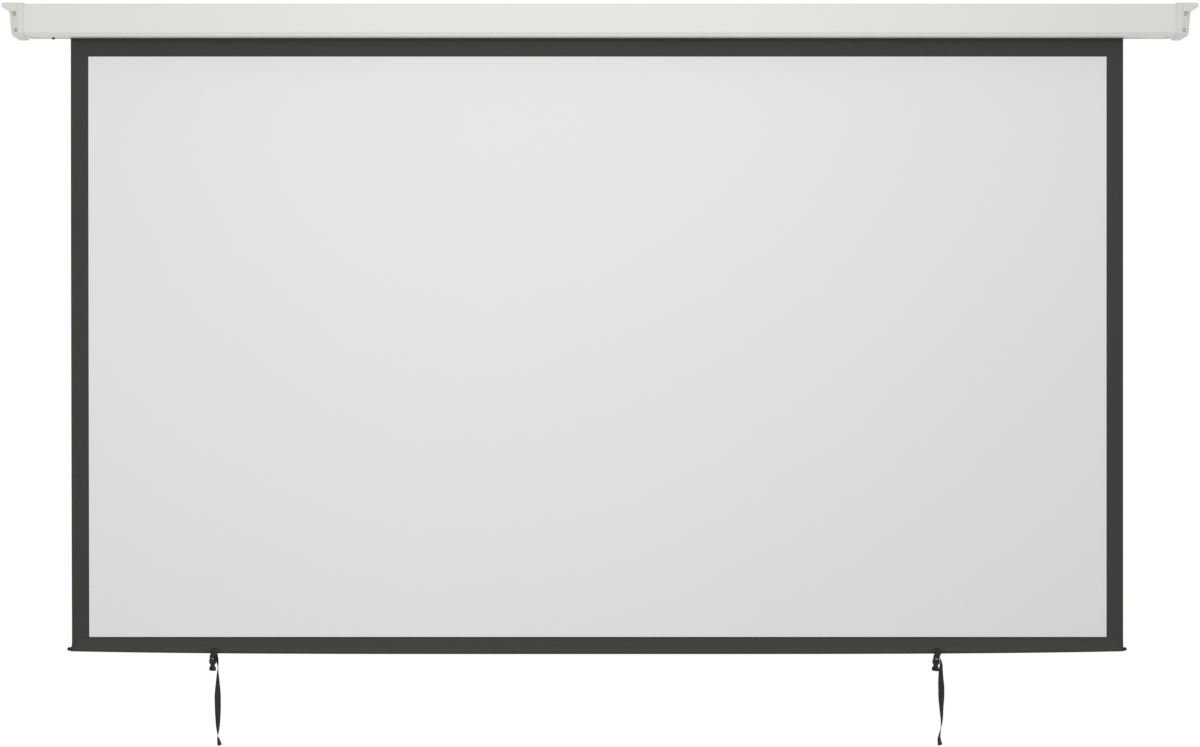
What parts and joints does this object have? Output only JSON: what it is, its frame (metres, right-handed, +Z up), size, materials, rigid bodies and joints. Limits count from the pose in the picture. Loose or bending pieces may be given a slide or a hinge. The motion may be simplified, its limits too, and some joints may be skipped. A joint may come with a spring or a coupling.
{
  "type": "motorized projector screen",
  "caption": "Motorized roll-down projector screen: long white casing with end caps and ears, white fabric with black border, weighted hem and straps.",
  "frame": {"origin": "centre of the casing's flat back, on the wall plane, at half the casing's height", "axes": "+X along the casing to the right seen from the front, -Y towards the viewer, +Y into the wall, +Z up"},
  "size_m": [2.582, 0.0765, 1.6077],
  "materials": {
    "painted_metal": "white powder coat, satin",
    "white_plastic": "moulded, fine texture",
    "zinc_steel": "zinc plated",
    "nickel_steel": "nickel plated",
    "black_plastic": "moulded, satin",
    "grey_plastic": "glass-filled nylon",
    "white_fabric": "matt white coated fabric with a printed black border",
    "black_fabric": "matt black coated fabric",
    "black_webbing": "woven nylon webbing",
    "motor_paint": "dark grey enamel",
    "bronze": "sintered bronze",
    "red_plastic": "moulded",
    "yellow_plastic": "moulded"
  },
  "bodies": {
    "casing": {"casing": "painted_metal", "end_cap_left": "white_plastic", "end_cap_right": "white_plastic", "cap_screw_left_upper": "nickel_steel", "cap_screw_left_lower": "nickel_steel", "cap_screw_right_upper": "nickel_steel", "cap_screw_right_lower": "nickel_steel", "motor_bracket": "zinc_steel", "idler_bracket": "zinc_steel", "cable_gland": "black_plastic", "motor_head": "motor_paint", "motor_tube": "motor_paint", "motor_screw_upper": "zinc_steel", "motor_screw_lower": "zinc_steel", "idler_bush": "bronze", "screen_fabric": "white_fabric"},
    "roller": {"roller_tube": "zinc_steel", "wound_fabric": "black_fabric", "fabric_spline": "white_plastic", "crown_ring": "grey_plastic", "drive_wheel": "grey_plastic", "motor_shaft": "zinc_steel", "idler_plug": "grey_plastic", "idler_pin": "nickel_steel"},
    "bottom_bar": {"weight_bar": "zinc_steel", "hem_pocket": "black_fabric", "bar_plug_left": "black_plastic", "bar_plug_right": "black_plastic"},
    "limit_up": {"limit_screw_up": "yellow_plastic"},
    "limit_down": {"limit_screw_down": "red_plastic"},
    "strap_left": {"strap_left_loop": "black_webbing", "strap_left_tail": "black_webbing", "buckle_left_socket": "black_plastic"},
    "strap_right": {"strap_right_loop": "black_webbing", "strap_right_tail": "black_webbing", "buckle_right_socket": "black_plastic"},
    "buckle_left": {"buckle_left_plug": "black_plastic", "buckle_left_prong_left": "black_plastic", "buckle_left_prong_right": "black_plastic"},
    "buckle_right": {"buckle_right_plug": "black_plastic", "buckle_right_prong_left": "black_plastic", "buckle_right_prong_right": "black_plastic"}
  },
  "joints": [
    {"name": "screen_lift", "type": "slide", "parent": "casing", "child": "bottom_bar", "axis": [0, 0, 1], "range_m": [0, 1.32], "deforming": ["screen_fabric"]},
    {"name": "roller_spin", "type": "hinge", "parent": "casing", "child": "roller", "pos_m": [0, -0.041, 0], "axis": [1, 0, 0], "range_deg": [0, 2863]},
    {"name": "limit_up_turn", "type": "hinge", "parent": "casing", "child": "limit_up", "pos_m": [-1.2257, -0.01676, -0.026], "axis": [0, 0, 1], "continuous": true},
    {"name": "limit_down_turn", "type": "hinge", "parent": "casing", "child": "limit_down", "pos_m": [-1.2347, -0.01676, -0.026], "axis": [0, 0, 1], "continuous": true},
    {"name": "strap_left_swing", "type": "hinge", "parent": "bottom_bar", "child": "strap_left", "pos_m": [-0.83805, -0.01676, -1.36582], "axis": [1, 0, 0], "range_deg": [-60, 60]},
    {"name": "strap_right_swing", "type": "hinge", "parent": "bottom_bar", "child": "strap_right", "pos_m": [0.73351, -0.01676, -1.36645], "axis": [1, 0, 0], "range_deg": [-60, 60]},
    {"name": "buckle_left_release", "type": "slide", "parent": "strap_left", "child": "buckle_left", "axis": [0, 0, -1], "range_m": [0, 0.02], "deforming": ["buckle_left_prong_left", "buckle_left_prong_right"]},
    {"name": "buckle_right_release", "type": "slide", "parent": "strap_right", "child": "buckle_right", "axis": [-0.0872, 0, -0.9962], "range_m": [0, 0.02], "deforming": ["buckle_right_prong_left", "buckle_right_prong_right"]}
  ],
  "couplings": [
    {"joint": "roller_spin", "follows": "screen_lift", "rad_per_m": 37.85}
  ]
}
